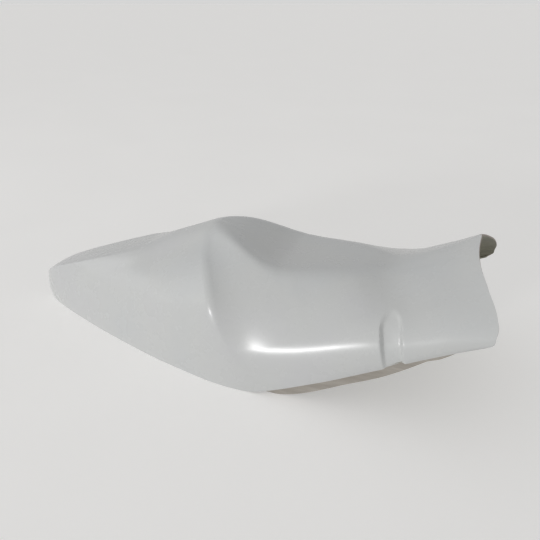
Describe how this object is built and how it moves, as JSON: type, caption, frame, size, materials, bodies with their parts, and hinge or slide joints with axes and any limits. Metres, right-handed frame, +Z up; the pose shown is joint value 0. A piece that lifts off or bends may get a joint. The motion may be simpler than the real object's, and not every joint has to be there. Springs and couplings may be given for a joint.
{
  "type": "racing seat unit",
  "caption": "One-piece racing motorcycle seat and tail shell with a raised backrest, a sculpted seat pan and an open underside.",
  "frame": {"origin": "on the floor, at the middle of the shell's length and width, with the tail's edge resting on the floor as in the picture", "axes": "+X forward towards the rider's tank, +Y to the rider's left, +Z up"},
  "size_m": [0.8969, 0.3554, 0.2605],
  "materials": {
    "gelcoat": "white gelcoat on glass laminate, satin gloss"
  },
  "bodies": {
    "root": {"seat_shell": "gelcoat"}
  },
  "joints": []
}
